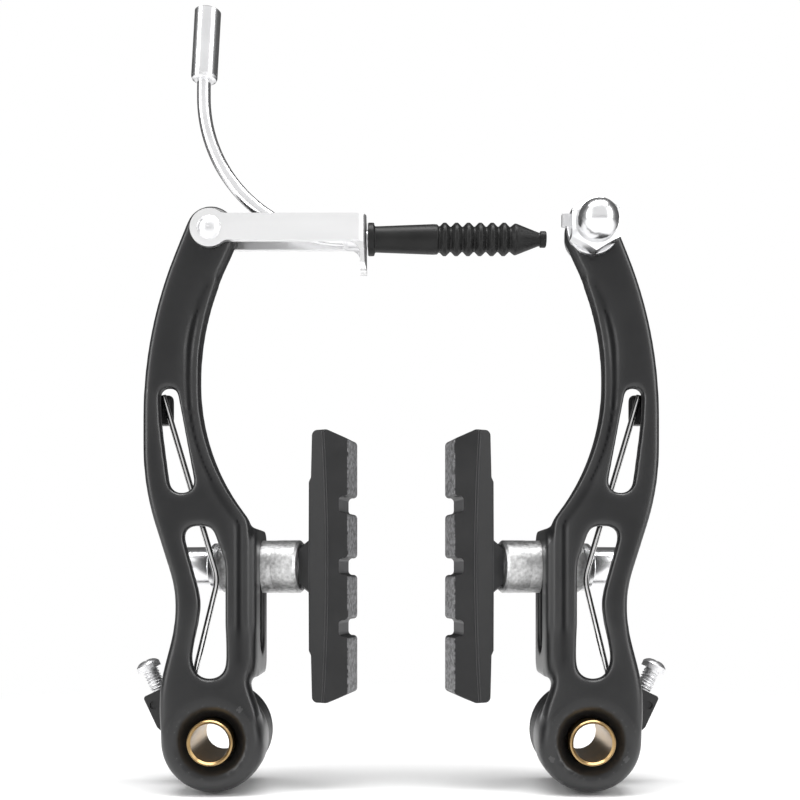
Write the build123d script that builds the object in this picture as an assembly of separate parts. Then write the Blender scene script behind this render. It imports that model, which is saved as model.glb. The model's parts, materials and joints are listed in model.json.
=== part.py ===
from build123d import *
import os
from math import acos, asin, atan2, cos, degrees, radians, sin, sqrt, tan

# A linear-pull rim brake, both sides. Millimetres, Z up, Y to the rear. The origin lies midway
# between the two frame bosses, level with the rear ends of the pivot bushes. Each side is drawn
# about its own pivot, x pointing inwards to the wheel, and the right side is the left one mirrored.

# Frame and main sizes
boss_spacing = 80.0
arm_length = 107.4
run_gap = 0.06
part_gap = 0.3

# Pivot bush
bush_length = 20.0
bush_radius = 4.8
boss_radius = 4.05
bush_chamfer = 0.4

# Arm casting
face_y = 1.0 - bush_length
rail_depth = 5.4
web = 3.2
wall = 2.2
edge_round = 1.25
step_drop = 1.3
step_width = 2.5
window_round = 0.5
bead_radius = 1.05
head_radius = 5.4
head_thickness = 5.0
outer_reach = 14.35
waist_reach = 2.6
foot_reach = 8.0
neck_reach = 6.55
bulge_drop = 6.8
knee_height = 60.5
inner_turn = 24.5
outer_turn = 22.0
knee_turn = 37.0

# Windows in the arm
window_side = -10.9
window_rise = 13.9
window_drop = 8.2

# Arm foot, around the bush
foot_radius = 11.2
foot_back = -8.5
dish_radius = 6.6
dish_y = 2.0 - bush_length
rim_rise = 1.3
rim_round = 3.6
spring_room_inner = 5.9
spring_room_outer = 9.3
spring_room_front = -13.6

# Pad flange on the arm
flange_face = 9.5
flange_thickness = 2.6
flange_foot = 5.2
flange_top = 3.6
flange_back = 1.0
slot_drop = 18.6
slot_rise = 4.5
slot_width = 7.2
slot_y = -7.0

# Spring housing, cover and stop pin
housing_radius = 10.6
housing_back = 1.0
housing_floor = 2.0
cover_thickness = 2.3
cover_hole = 6.0
stop_pin_radius = 1.25
stop_pin_root = 1.5
stop_pin_place = 8.4
stop_pin_reach = 5.0
lug_thickness = 6.0

# Return spring
wire_radius = 0.62
coil_radius = 7.6
coil_turns = 3
coil_front = -12.6
coil_back = -2.4
leg_lean = 14.0
kink_height = 34.3
leg_y = -13.0
catch_reach = -11.0
catch_rise = 13.1

# Tension screw
screw_radius = 1.5
screw_head_radius = 2.65
screw_head_height = 2.1
screw_length = 10.0
screw_place = (-16.4, 14.0)
screw_tilt = 25.0
screw_stand = 5.0
screw_slot = 0.9

# Pad and its hardware
pad_height = 37.0
pad_toe = 12.0
pad_length = 58.4
pad_thickness = 9.0
pad_width = 8.6
pad_face = 21.8
pad_bevel = 2.1
pad_bevel_run = 4.6
pad_bow = 0.9
notch_pitch = 13.2
notch_width = 3.6
notch_depth = 2.0
notch_lip = 0.9
stud_radius = 3.0
ball_radius = 7.5
ball_gap = 0.1
washer_radius = 5.75
ball_hole = 4.5
cup_height = 10.4
outer_cup_height = 7.6
flat_washer = 1.0
nut_length = 8.8
nut_radius = 4.4
nut_flange = 5.2
key_width = 5.0
key_depth = 4.0

# Cable link and its rivet
link_sheet = 1.3
link_gap = 5.5
link_height = 5.6
link_reach = 32.7
link_eye = 4.0
link_drop = 1.3
tongue_drop = 6.0
rivet_radius = 2.0
rivet_head_radius = 2.5
rivet_head_height = 1.2

# Cable guide pipe, its socket, nose and liner
pipe_radius = 1.43
pipe_bore = 1.1
pipe_bend = 30.0
pipe_side = -1.75
pipe_rise = 48.2
socket_radius = 2.75
socket_bore = 2.5
socket_length = 14.7
socket_depth = 8.7
socket_lean = 3.2
nose_radius = 1.95
nose_collar = 2.35
nose_reach = 4.0
liner_bore = 0.85
liner_show = 6.0

# Rubber boot
boot_length = 37.6
boot_ridge = 3.4
boot_valley = 2.45
boot_barrel = 2.65
boot_tip = 1.7
collar_length = 1.25
nipple_length = 1.3
ridge_pitch = 2.5
ridge_count = 6
boot_bore = 1.15

# Cable anchor on the right arm
anchor_bolt_radius = 3.0
anchor_head_radius = 4.8
anchor_head_height = 3.0
anchor_washer_radius = 5.5
anchor_washer_thickness = 1.3
anchor_flats = 10.0
anchor_hex_height = 4.2
anchor_dome_radius = 4.2
anchor_total = 9.6

# Levels that follow from the sizes above
rail_back = face_y + rail_depth
web_back = face_y + web
head_back = face_y + head_thickness
head_mid = face_y + head_thickness / 2
lower_face = face_y + step_drop
ball_x = flange_face - flange_thickness / 2
pipe_z = arm_length - link_drop
slot_low = pad_height - slot_drop
slot_high = pad_height + slot_rise
flange_low = slot_low - flange_foot
flange_high = slot_high + flange_top
leg_end = (catch_reach, knee_height + catch_rise)
pin = (0.0, arm_length)


def upright(y):
    # The drawing plane across the brake at depth y: its x is the brake's x and its y is height.
    return Plane(origin=(0, y, 0), x_dir=(1, 0, 0), z_dir=(0, -1, 0))


def rounded(corners):
    # A closed outline from corners (x, height, radius).
    points = [(x, z) for x, z, r in corners]
    radii = [r for x, z, r in corners]
    return make_face(FilletPolyline(*points, radius=radii, close=True))


def slab(outline, front, back):
    # An upright outline made solid from its front level to its back level.
    return extrude(upright(back) * outline, amount=back - front, dir=(0, -1, 0))


def disc(radius, front, back, x=0.0, z=0.0):
    return slab(Pos(x, z) * Circle(radius), front, back)


def ring_about_pivot(points):
    # A profile of (radius, y) points turned about the pivot.
    return revolve(make_face(Polyline(*points, close=True)), axis=Axis.Y)


def tangent_corner(centre, radius, angle_a, angle_b):
    # The corner whose fillet of this radius is an arc about the centre from angle_a to angle_b.
    middle = radians((angle_a + angle_b) / 2)
    far = radius / cos(radians(abs(angle_a - angle_b) / 2))
    return (centre[0] + far * cos(middle), centre[1] + far * sin(middle), radius)


def tangent_height(centre, radius, angle, x):
    # Height at x of the line that touches the circle where its normal has this angle.
    n = (cos(radians(angle)), sin(radians(angle)))
    return centre[1] + (radius - n[0] * (x - centre[0])) / n[1]


def on_loop(edge, loop):
    return any((edge @ 0.5 - other @ 0.5).length < 1e-4 for other in loop.edges())


# Arm casting


def arm_outline(step=0.0):
    # The arm from the front. With a step, its inner edge is drawn in by that much between foot
    # and head, which is the outline of the broad face.
    outer_z = tangent_height(pin, head_radius, 180 - outer_turn, -outer_reach)
    inner_z = tangent_height(pin, head_radius, -inner_turn, -waist_reach)
    waist = waist_reach + step
    side = foot_reach - step
    knee_top = side_height(side, waist)
    outer = [
        tangent_corner(pin, head_radius, 180 - outer_turn, 90),
        (-outer_reach, outer_z, 92),
        (-outer_reach, knee_height - bulge_drop, 54),
        (-neck_reach, 28.9, 25),
        (-foot_radius, 11.6, 28),
        (-foot_radius + 0.1, 2.2, 5),
        (-0.55 * foot_radius, -0.35 * foot_radius, 3),
        (0.55 * foot_radius, -0.35 * foot_radius, 3),
        (0.94 * foot_radius, 0.45 * foot_radius, 4),
        (foot_reach, foot_radius + 0.8, 3),
    ]
    inner = [
        (side, knee_top, 4),
        (-waist, knee_height, 45),
        (-waist, inner_z, 57),
    ]
    if step:
        step_z = arm_length - 9.0
        edge_x = (step_z - inner_z) * tan(radians(inner_turn)) - waist_reach
        inner = [
            (foot_reach, foot_radius + 3.2, 1.5),
            (side, foot_radius + 5.0, 3),
            (side, knee_top, 4),
            (-waist, knee_height, 45),
            (-waist, arm_length - 20.4, 28),
            (edge_x - 2.2, step_z - 2.2, 3),
            (edge_x, step_z, 1.6),
        ]
    return rounded(outer + inner + [tangent_corner(pin, head_radius, 90, -inner_turn)])


def side_height(side, waist):
    # Where the slanted knee meets the upright inner side.
    return knee_height - (waist + side) / tan(radians(knee_turn))


def lower_window():
    return rounded(
        [
            (-6.4, 45.4, 2.2),
            (-2.0, 29.5, 14),
            (-4.2, 16.5, 6),
            (-2.4, 13.4, 2.2),
            (3.0, 13.4, 2.9),
            (3.0, 37.5, 12),
            (0.2, 45.4, 2.2),
        ]
    )


def upper_window():
    top, bottom = knee_height + window_rise, knee_height - window_drop
    middle = (top + bottom) / 2 + 2.7
    return rounded(
        [
            (window_side, top, 1.6),
            (window_side + 0.5, middle, 50),
            (window_side + 2.3, bottom, 2.5),
            (window_side + 7.8, bottom + 0.2, 2.3),
            (window_side + 3.7, top, 1.4),
        ]
    )


def edge_bead():
    # A round bead along the inner edge, from below the head down to the foot.
    inset = bead_radius - 0.2
    top_z = arm_length - 5.0
    slope = tan(radians(inner_turn))
    inner_z = tangent_height(pin, head_radius, -inner_turn, -waist_reach)
    top_x = -waist_reach + (top_z - inner_z) * slope - inset
    y = lower_face + 0.15
    path = FilletPolyline(
        (top_x, y, top_z),
        (-waist_reach - inset, y, inner_z - 0.1),
        (-waist_reach - inset, y, knee_height - 0.2),
        (foot_reach - inset, y, side_height(foot_reach, waist_reach) - 0.2),
        (foot_reach - inset, y, foot_radius + 3),
        radius=[56, 44, 3],
    )
    start = Plane(origin=path @ 0, z_dir=path % 0)
    bead = sweep(start * Circle(bead_radius), path=path)
    bead += Pos(*(path @ 1)) * Sphere(bead_radius)
    above = Box(20, 20, 20, align=(Align.CENTER, Align.CENTER, Align.MIN))
    return bead - Pos(top_x, y, arm_length - 10.0) * above


def foot():
    # The round foot: a dished face with a soft rim, and the spring's room behind.
    crest = (dish_radius + foot_radius) / 2 - 0.5
    rim_y = dish_y - rim_rise
    bore = bush_radius + run_gap
    with BuildSketch() as profile:
        with BuildLine():
            l1 = Polyline((bore, dish_y), (dish_radius - 0.6, dish_y), (dish_radius + 0.3, rim_y + 0.5))
            l2 = ThreePointArc(l1 @ 1, (dish_radius + 0.7, rim_y + 0.1), (crest - 0.4, rim_y))
            l3 = Line(l2 @ 1, (foot_radius - rim_round, rim_y))
            l4 = RadiusArc(l3 @ 1, (foot_radius, rim_y + rim_round), -rim_round)
            l5 = Polyline(
                l4 @ 1,
                (foot_radius, foot_back),
                (spring_room_outer, foot_back),
                (spring_room_outer, spring_room_front),
                (spring_room_inner, spring_room_front),
                (spring_room_inner, foot_back),
                (bore, foot_back),
                (bore, dish_y),
            )
        make_face()
    return revolve(profile.sketch, axis=Axis.Y)


def spring_notch():
    # Where the spring's long leg leaves its room, wide enough for the arm's swing.
    far = foot_radius + 2.8
    points = [(0, 0)]
    points += [(far * cos(radians(a)), far * sin(radians(a))) for a in (152, 116, 80)]
    wedge = make_face(Polyline(*points, close=True)) - Circle(spring_room_outer - 0.4)
    return slab(wedge, spring_room_front, foot_back + 1)


def flange():
    depth = flange_back - face_y - 1.6
    middle_y = flange_back - depth / 2
    height = flange_high - flange_low
    plate = Box(flange_thickness, depth, height)
    corners = plate.edges().filter_by(Axis.X)
    plate = fillet(corners, 3.0)
    plate = Pos(flange_face - flange_thickness / 2, middle_y, flange_low + height / 2) * plate
    slot = Plane.YZ * Pos(slot_y, (slot_low + slot_high) / 2) * SlotOverall(
        slot_high - slot_low, slot_width, rotation=90
    )
    reach = flange_face - flange_thickness - 1
    return plate, extrude(Pos(reach, 0, 0) * slot, amount=flange_thickness + 2)


def arm(bore_radius):
    outline = arm_outline()
    windows = lower_window() + upper_window()
    body = slab(outline - windows, lower_face, rail_back)
    # The broad face stands proud of the band along the inner edge.
    face = slab(arm_outline(step_width) - windows, face_y, lower_face)
    face = fillet(face.faces().sort_by(Axis.Y)[0].outer_wire().edges(), edge_round)
    for loop in face.faces().sort_by(Axis.Y)[0].inner_wires():
        face = fillet(face.edges().filter_by(lambda e: on_loop(e, loop)), window_round)
    body += face
    # The back is open between a wall that follows the outline, as it was cast.
    hollow = offset(outline, -wall) - Circle(foot_radius + 0.6)
    hollow -= Pos(0, arm_length) * Rectangle(60, 24)
    body -= slab(hollow, web_back, rail_back + 1)
    body -= disc(foot_radius - 1.5, face_y - 1, rail_back + 1)
    body -= disc(head_radius + 5.2, head_back, rail_back + 1, *pin)
    body += foot()
    body += edge_bead()
    body -= spring_notch()
    plate, slot = flange()
    body += plate
    body -= slot
    body += spring_catch()
    return body - disc(bore_radius, face_y - 2, rail_back + 2, *pin)


def spring_catch():
    # The hook-shaped block on the outer wall that holds the spring's end from behind.
    low, high, depth = leg_end[1] - 6.2, leg_end[1] + 0.4, 2.4
    front = leg_y + wire_radius + 0.15
    start = -outer_reach + 0.6
    block = Box(4.5, depth, high - low, align=(Align.MIN, Align.MIN, Align.MIN))
    block = fillet(block.edges().filter_by(Axis.Y), 0.8)
    stem = Box(1.6, front + depth - web_back, high - low - 1.6, align=(Align.MIN,) * 3)
    return Pos(start, front, low) * block + Pos(start, web_back, low + 0.8) * stem


# Pivot bush and spring housing


def pivot_bush():
    c = bush_chamfer
    r, b, y = bush_radius, boss_radius, -bush_length
    return ring_about_pivot(
        [
            (b + c, y),
            (r - 0.25, y),
            (r, y + 0.25),
            (r, -0.25),
            (r - 0.25, 0),
            (b + c, 0),
            (b, -c),
            (b, y + c),
        ]
    )


def along(point, direction, distance):
    return (point[0] + direction[0] * distance, point[1] + direction[1] * distance)


screw_way = (sin(radians(screw_tilt)), -cos(radians(screw_tilt)))
screw_side = (-screw_way[1], screw_way[0])
screw_tip = along(screw_place, screw_way, screw_length)
short_end = along(screw_tip, screw_way, wire_radius + 0.12)


def short_leg_angle():
    # Where on the coil the short leg leaves, so that it runs straight out under the screw.
    reach = sqrt(short_end[0] ** 2 + short_end[1] ** 2)
    return degrees(atan2(short_end[1], short_end[0]) - acos(coil_radius / reach))


def spring_housing():
    front = foot_back + part_gap
    inner, outer, floor = spring_room_inner, spring_room_outer, housing_back - housing_floor
    body = ring_about_pivot(
        [
            (bush_radius, front),
            (inner, front),
            (inner, floor),
            (outer, floor),
            (outer, front),
            (housing_radius - 0.4, front),
            (housing_radius, front + 0.4),
            (housing_radius, housing_back - 0.25),
            (housing_radius - 0.25, housing_back),
            (cover_hole, housing_back),
            (cover_hole, 0),
            (bush_radius, 0),
        ]
    )
    top = along(screw_place, screw_way, screw_stand)
    corner = along(top, screw_side, -3.3)
    lug = rounded(
        [
            (*corner, 0.7),
            (*along(top, screw_side, 1.6), 0.5),
            (-0.64 * housing_radius, 0.75 * housing_radius, 0.5),
            (-0.4 * housing_radius, 0, 0.5),
            (-0.96 * housing_radius, -0.2 * housing_radius, 0.5),
            (*along(corner, screw_way, 7.4), 1.5),
        ]
    )
    lug -= Circle(outer + 0.2)
    low, high = coil_back - lug_thickness / 2, coil_back + lug_thickness / 2
    body += slab(lug, low, high)
    mark = along(along(top, screw_way, 2.6), screw_side, -1.9)
    body -= disc(0.9, low - 1, low + 0.4, *mark)
    angle = radians(short_leg_angle())
    start = (coil_radius * cos(angle), coil_radius * sin(angle))
    way = atan2(short_end[1] - start[1], short_end[0] - start[0])
    length = sqrt((short_end[0] - start[0]) ** 2 + (short_end[1] - start[1]) ** 2) + 3.2
    pocket = Pos(*start) * Rot(0, 0, degrees(way)) * Pos(length / 2, 0.3) * Rectangle(length, 2.4)
    body -= slab(pocket, coil_back - 0.95, coil_back + 1.7)
    seat = Plane(
        origin=(screw_place[0], coil_back, screw_place[1]),
        x_dir=(0, 1, 0),
        z_dir=(-screw_way[0], 0, -screw_way[1]),
    )
    bore = Cylinder(screw_radius + run_gap, screw_length + 0.4, align=(Align.CENTER,) * 2 + (Align.MAX,))
    body -= seat * bore
    return body - stop_pin(), seat


def housing_cover():
    back = housing_back + cover_thickness
    cover = ring_about_pivot(
        [
            (cover_hole, housing_back),
            (housing_radius - 0.25, housing_back),
            (housing_radius, housing_back + 0.25),
            (housing_radius, back - 0.6),
            (housing_radius - 0.6, back),
            (cover_hole + 0.4, back),
            (cover_hole, back - 0.4),
        ]
    )
    return cover - stop_pin()


def stop_pin():
    # A thicker root inside the housing and cover, and the free end for the frame's hole.
    root, tip = housing_back + cover_thickness, housing_back + cover_thickness + stop_pin_reach
    start, step, edge = housing_back - 1.5, stop_pin_root - stop_pin_radius, 0.4
    return Pos(-stop_pin_place, 0, 0) * ring_about_pivot(
        [
            (0, start),
            (stop_pin_root, start),
            (stop_pin_root, root),
            (stop_pin_radius, root + step),
            (stop_pin_radius, tip - edge),
            (stop_pin_radius - edge, tip),
            (0, tip),
        ]
    )


def tension_screw(seat):
    r, h, top = screw_head_radius, screw_head_height, 0.9
    with BuildSketch(Plane.XZ) as profile:
        with BuildLine():
            Polyline((0, h), (0, -screw_length), (screw_radius - 0.4, -screw_length),
                     (screw_radius, -screw_length + 0.4), (screw_radius, 0), (r, 0), (r, h - top))
            ThreePointArc((r, h - top), (r * 0.72, h - 0.22), (0, h))
        make_face()
    screw = revolve(profile.sketch, axis=Axis.Z)
    for turn in (0, 90):
        arm_slot = Box(screw_slot, 2.9, 1.3, align=(Align.CENTER, Align.CENTER, Align.MAX))
        screw -= Pos(0, 0, h + 0.1) * Rot(0, 0, turn) * arm_slot
    return seat * screw


def return_spring():
    # Coil from the short end's side at the rear to the long leg's side at the front.
    begin = short_leg_angle()
    finish = 180 - leg_lean
    turn = (begin - finish) % 360 + 360 * (coil_turns - 1)
    height = coil_back - coil_front
    place = Plane(
        origin=(0, coil_back, 0),
        x_dir=(cos(radians(begin)), 0, sin(radians(begin))),
        z_dir=(0, -1, 0),
    )
    coil = place * Helix(height * 360 / turn, height, coil_radius, lefthand=True)
    last, out = coil @ 1, coil % 1
    kink_x = last.X + (kink_height - last.Z) * tan(radians(leg_lean))
    leg = FilletPolyline(
        last,
        last + out * 3,
        (kink_x, leg_y, kink_height),
        (leg_end[0], leg_y, leg_end[1]),
        radius=[30, 5],
    )
    first, into = coil @ 0, coil % 0
    reach = Vector(short_end[0] - first.X, 0, short_end[1] - first.Z).length + 0.6
    section = Circle(wire_radius)
    wire = sweep(Plane(origin=first, z_dir=into) * section, path=coil, is_frenet=True)
    wire += sweep(Plane(origin=last, z_dir=out) * section, path=leg)
    return wire + extrude(Plane(origin=first, z_dir=-into) * section, amount=reach)


# Pad and its hardware, drawn about the middle of the ball seats with the post along x


def turned_on_post(points):
    # A profile of (x, radius) points turned about the post.
    return revolve(make_face(Polyline(*points, close=True)), axis=Axis.X)


def ball_edge(radius, at):
    return sqrt(radius**2 - at**2)


def ball_washer():
    # Flat against the flange and domed towards the cup.
    seat = flange_thickness / 2 + 0.05
    rim = ball_edge(ball_radius, washer_radius)
    hole = ball_edge(ball_radius, ball_hole)
    middle = (washer_radius + ball_hole) / 2
    with BuildSketch() as profile:
        with BuildLine():
            Polyline((hole, ball_hole), (seat, ball_hole), (seat, washer_radius), (rim, washer_radius))
            ThreePointArc(
                (rim, washer_radius), (ball_edge(ball_radius, middle), middle), (hole, ball_hole)
            )
        make_face()
    return revolve(profile.sketch, axis=Axis.X)


def cup(height):
    # Hollow against the ball washer and flat on the other side.
    sphere = ball_radius + ball_gap
    bore = stud_radius + 0.3
    rim = ball_edge(sphere, washer_radius)
    hole = ball_edge(sphere, bore)
    middle = (washer_radius + bore) / 2
    edge = 0.5
    with BuildSketch() as profile:
        with BuildLine():
            Polyline(
                (rim, washer_radius),
                (height - edge, washer_radius),
                (height, washer_radius - edge),
                (height, bore),
                (hole, bore),
            )
            ThreePointArc((hole, bore), (ball_edge(sphere, middle), middle), (rim, washer_radius))
        make_face()
    return revolve(profile.sketch, axis=Axis.X)


def pad_stud():
    start = -outer_cup_height - flat_washer - nut_length + key_depth + 0.6
    end = pad_face - notch_depth - 1.8
    return turned_on_post(
        [
            (start, 0),
            (start, stud_radius - 0.5),
            (start + 0.5, stud_radius),
            (end - 1.6, stud_radius),
            (end - 1.6, stud_radius + 0.6),
            (end, stud_radius + 0.6),
            (end, 0),
        ]
    )


def pad_block():
    back, half = pad_face - pad_thickness, pad_length / 2
    ledge = 0.31 * pad_length
    shoulder = pad_face - pad_bevel_run
    side = rounded(
        [
            (back + pad_bow, half, 1.2),
            (shoulder, half, 1.5),
            (pad_face, half - pad_bevel, 1.0),
            (pad_face, -half + pad_bevel, 1.0),
            (shoulder, -half, 1.5),
            (back + pad_bow, -half, 1.2),
            (back + pad_bow * 0.7, -ledge - 1, 0.6),
            (back + pad_bow * 0.1, -ledge, 0.6),
            (back, 0, 200),
            (back + pad_bow * 0.1, ledge, 0.6),
            (back + pad_bow * 0.7, ledge + 1, 0.6),
        ]
    )
    for row in (-1, 0, 1):
        side -= Pos(pad_face, row * notch_pitch) * RectangleRounded(
            2 * notch_depth, notch_width, 0.9
        )
    reach = notch_pitch + notch_width
    mouths = side.vertices().filter_by_position(Axis.X, pad_face - 0.01, pad_face + 0.01)
    side = fillet(mouths.filter_by_position(Axis.Y, -reach, reach), notch_lip)
    block = slab(side, -pad_width / 2, pad_width / 2)
    # Seen end on, the cheeks rise to an arris halfway.
    middle = pad_face - 0.55 * pad_thickness
    across = rounded(
        [
            (back - 0.5, -pad_width / 2 + 1.1, 1.4),
            (middle, -pad_width / 2 - 0.02, 0.6),
            (pad_face + 1, -pad_width / 2 + 0.4, 1.0),
            (pad_face + 1, pad_width / 2 - 0.4, 1.0),
            (middle, pad_width / 2 + 0.02, 0.6),
            (back - 0.5, pad_width / 2 - 1.1, 1.4),
        ]
    )
    block &= extrude(across, amount=pad_length, both=True)
    flare = turned_on_post(
        [
            (cup_height + 0.15, 0),
            (cup_height + 0.15, washer_radius - 1.0),
            (cup_height + 0.9, washer_radius - 0.7),
            (back + 0.6, washer_radius + 0.9),
            (back + 3, washer_radius + 0.9),
            (back + 3, 0),
        ]
    )
    flare &= Box(4 * pad_thickness, pad_width - 2.4, 4 * washer_radius)
    return block + flare - pad_stud()


def flat_washer_ring():
    return turned_on_post(
        [
            (-outer_cup_height - 0.03, stud_radius + 0.25),
            (-outer_cup_height - 0.03, washer_radius - 0.4),
            (-outer_cup_height - flat_washer, washer_radius - 0.4),
            (-outer_cup_height - flat_washer, stud_radius + 0.25),
        ]
    )


def pad_nut():
    start = -outer_cup_height - flat_washer
    end = start - nut_length
    nut = turned_on_post(
        [
            (start, stud_radius),
            (start, nut_flange),
            (start - 0.9, nut_flange),
            (start - 1.4, nut_radius),
            (end + 0.6, nut_radius),
            (end, nut_radius - 0.6),
            (end, key_width / 2 + 0.5),
            (end, 0),
            (end + key_depth, 0),
            (end + key_depth, stud_radius),
        ]
    )
    hexagon = RegularPolygon(key_width / 2, 6, major_radius=False)
    return nut - extrude(Plane.YZ.offset(end - 1) * hexagon, amount=key_depth + 1)


def at_flange(shape, toe):
    return Pos(ball_x, slot_y, pad_height) * Rot(0, 0, -toe) * shape


# Cable link, rivet and guide pipe


def cable_link():
    half = link_gap / 2 + link_sheet
    low = arm_length + 0.2 - link_height / 2
    high = low + link_height
    plan = Pos(link_reach / 2 - link_eye, head_mid) * RectangleRounded(
        link_reach + 2 * link_eye, 2 * half, 2.0
    )
    inner = Pos(link_reach / 2 - link_eye - link_sheet, head_mid) * RectangleRounded(
        link_reach + 2 * link_eye, link_gap, 0.7
    )
    tall = extrude(plan - inner, amount=link_height + 3 * tongue_drop)
    tall = Pos(0, 0, low - 2 * tongue_drop) * tall
    side = Pos(*pin) * Circle(link_eye)
    side += Pos(link_reach / 2, (low + high) / 2) * Rectangle(link_reach, link_height)
    joint = side.vertices().filter_by_position(Axis.X, 1, link_eye)
    side = fillet(joint, 2.0)
    wall_x = link_reach - link_sheet
    side += Pos(wall_x + link_sheet / 2, low) * Rectangle(link_sheet, 2 * tongue_drop)
    inside = side.vertices().filter_by_position(Axis.X, wall_x - 0.01, wall_x + 0.01)
    side = fillet(inside.filter_by_position(Axis.Y, low - 0.01, low + 0.01), 2.6)
    link = tall & slab(side, head_mid - half - 1, head_mid + half + 1)
    width = 2 * half
    tongue = Pos(head_mid, (high + low) / 2) * Rectangle(width + 1, link_height)
    tongue += Pos(head_mid, low) * rounded(
        [
            (-width / 2 + 0.4, 1, 0.2),
            (width / 2 - 0.4, 1, 0.2),
            (width / 2 - 1.0, -tongue_drop, 2.2),
            (-width / 2 + 1.0, -tongue_drop, 2.2),
        ]
    )
    window = extrude(Plane.YZ * tongue, amount=link_reach + 10)
    window += Box(2 * (link_reach - 2.5 * link_sheet), 8 * width, 4 * arm_length)
    link &= window
    keyhole = Pos(head_mid, pipe_z) * Circle(nose_radius + 0.05)
    keyhole += Pos(head_mid, pipe_z + link_height / 2) * Rectangle(2.0, link_height)
    link -= Pos(wall_x - link_sheet, 0, 0) * extrude(Plane.YZ * keyhole, amount=5)
    return link - disc(rivet_radius, head_mid - half - 1, head_mid + half + 1, *pin)


def dome_middle(radius, height):
    # The point halfway along a dome's profile, from its top (0, height) to its rim (radius, 0).
    ball = (radius**2 + height**2) / (2 * height)
    angle = asin(radius / ball) / 2
    return ball * sin(angle), height - ball + ball * cos(angle)


def link_rivet():
    half = link_gap / 2 + link_sheet
    h, r = rivet_head_height, rivet_head_radius
    x, y = dome_middle(r, h)
    with BuildSketch() as profile:
        with BuildLine():
            Polyline((0, half + h), (0, -half - h))
            ThreePointArc((0, -half - h), (x, -half - y), (r, -half))
            Polyline((r, -half), (rivet_radius, -half), (rivet_radius, half), (r, half))
            ThreePointArc((r, half), (x, half + y), (0, half + h))
        make_face()
    rivet = revolve(profile.sketch, axis=Axis.Y)
    return Pos(0, head_mid, arm_length) * rivet


def pipe_path(top, end_x):
    lean = radians(socket_lean)
    turn_z = pipe_z + pipe_bend + 2.6
    rise = pipe_z + top - turn_z
    return FilletPolyline(
        (pipe_side + rise * tan(lean), head_mid, pipe_z + top),
        (pipe_side, head_mid, turn_z),
        (pipe_side, head_mid, pipe_z),
        (end_x, head_mid, pipe_z),
        radius=[40, pipe_bend],
    )


def tube(path, outer, inner):
    start = Plane(origin=path @ 0, z_dir=path % 0)
    return sweep(start * (Circle(outer) - Circle(inner)), path=path)


def guide_pipe():
    # It ends a little below the socket's floor.
    top = pipe_rise - socket_depth - 0.3
    return tube(pipe_path(top, link_reach + nose_reach), pipe_radius, pipe_bore)


def pipe_liner():
    end = link_reach + nose_reach + liner_show
    return tube(pipe_path(pipe_rise - socket_depth - 0.4, end), pipe_bore - 0.02, liner_bore)


def pipe_socket():
    # The closed end is swaged on the pipe; the open end takes the cable's outer casing.
    floor = socket_length - socket_depth
    profile = [
        (pipe_radius, 0),
        (socket_radius - 0.7, 0),
        (socket_radius - 0.2, 0.25),
        (socket_radius, 0.8),
        (socket_radius, socket_length - 0.15),
        (socket_radius - 0.15, socket_length),
        (socket_bore + 0.05, socket_length),
        (socket_bore, socket_length - 0.1),
        (socket_bore, floor),
        (pipe_radius, floor),
    ]
    socket = revolve(Plane.XZ * make_face(Polyline(*profile, close=True)), axis=Axis.Z)
    path = pipe_path(pipe_rise, 40)
    up = (path % 0) * -1
    base = (path @ 0) - up * socket_length
    return Plane(origin=base, x_dir=(0, 1, 0), z_dir=up) * socket


def on_pipe(points):
    # A profile of (x, radius) points turned about the pipe's straight end.
    return Pos(0, head_mid, pipe_z) * turned_on_post(points)


def pipe_nose():
    wall_x = link_reach - link_sheet
    tip = link_reach + nose_reach
    return on_pipe(
        [
            (wall_x - 3.6, pipe_radius),
            (wall_x - 3.6, nose_radius),
            (wall_x - 2.6, nose_collar),
            (wall_x - 0.05, nose_collar),
            (wall_x - 0.05, nose_radius),
            (tip - 1.2, nose_radius),
            (tip, pipe_radius + 0.15),
            (tip, pipe_radius),
        ]
    )


def rubber_boot():
    # A collar on the link's wall, a tapered barrel, round bellows and a nipple for the cable.
    bore = boot_bore
    lip = nose_radius + 0.05
    soft = 0.35
    first = boot_length * 0.43
    corners = [
        (0, lip, 0.05),
        (0, boot_ridge, 0.25),
        (collar_length, boot_ridge, 0.25),
        (collar_length + 0.2, boot_barrel, 0.3),
        (first - 2.4, boot_ridge - 0.3, 1.5),
        (first - 1.5, boot_ridge - 0.35, soft),
    ]
    for ridge in range(ridge_count):
        x = first + ridge * ridge_pitch
        corners += [(x - 0.5 * ridge_pitch, boot_valley, 0.3), (x - 0.3, boot_ridge, soft)]
        corners += [(x + 0.3, boot_ridge, soft)]
    after = first + (ridge_count - 0.5) * ridge_pitch
    corners += [
        (after, boot_valley, 0.3),
        (after + 1.1, boot_ridge - 0.1, 0.6),
        (boot_length - nipple_length - 0.3, boot_tip - 0.3, 0.5),
        (boot_length - nipple_length, boot_tip - 0.3, 0.05),
        (boot_length - nipple_length + 0.1, boot_tip, 0.1),
        (boot_length, boot_tip, 0.3),
        (boot_length, bore, 0.1),
        (nose_reach + 0.6, bore, 0.1),
        (nose_reach, lip, 0.1),
    ]
    profile = rounded(corners)
    return Pos(link_reach + part_gap, head_mid, pipe_z) * revolve(profile, axis=Axis.X)


# Cable anchor on the right arm


def anchor_bolt():
    tip = face_y - anchor_washer_thickness - anchor_total + 3.2
    bolt = disc(anchor_bolt_radius, tip, head_back, *pin)
    head = disc(anchor_head_radius, head_back, head_back + anchor_head_height, *pin)
    head = fillet(head.edges().sort_by(Axis.Y)[-1], 0.8)
    key = slab(Pos(*pin) * RegularPolygon(2.5, 6, major_radius=False), head_back + 1.0, head_back + 5)
    return bolt + head - key


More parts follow.
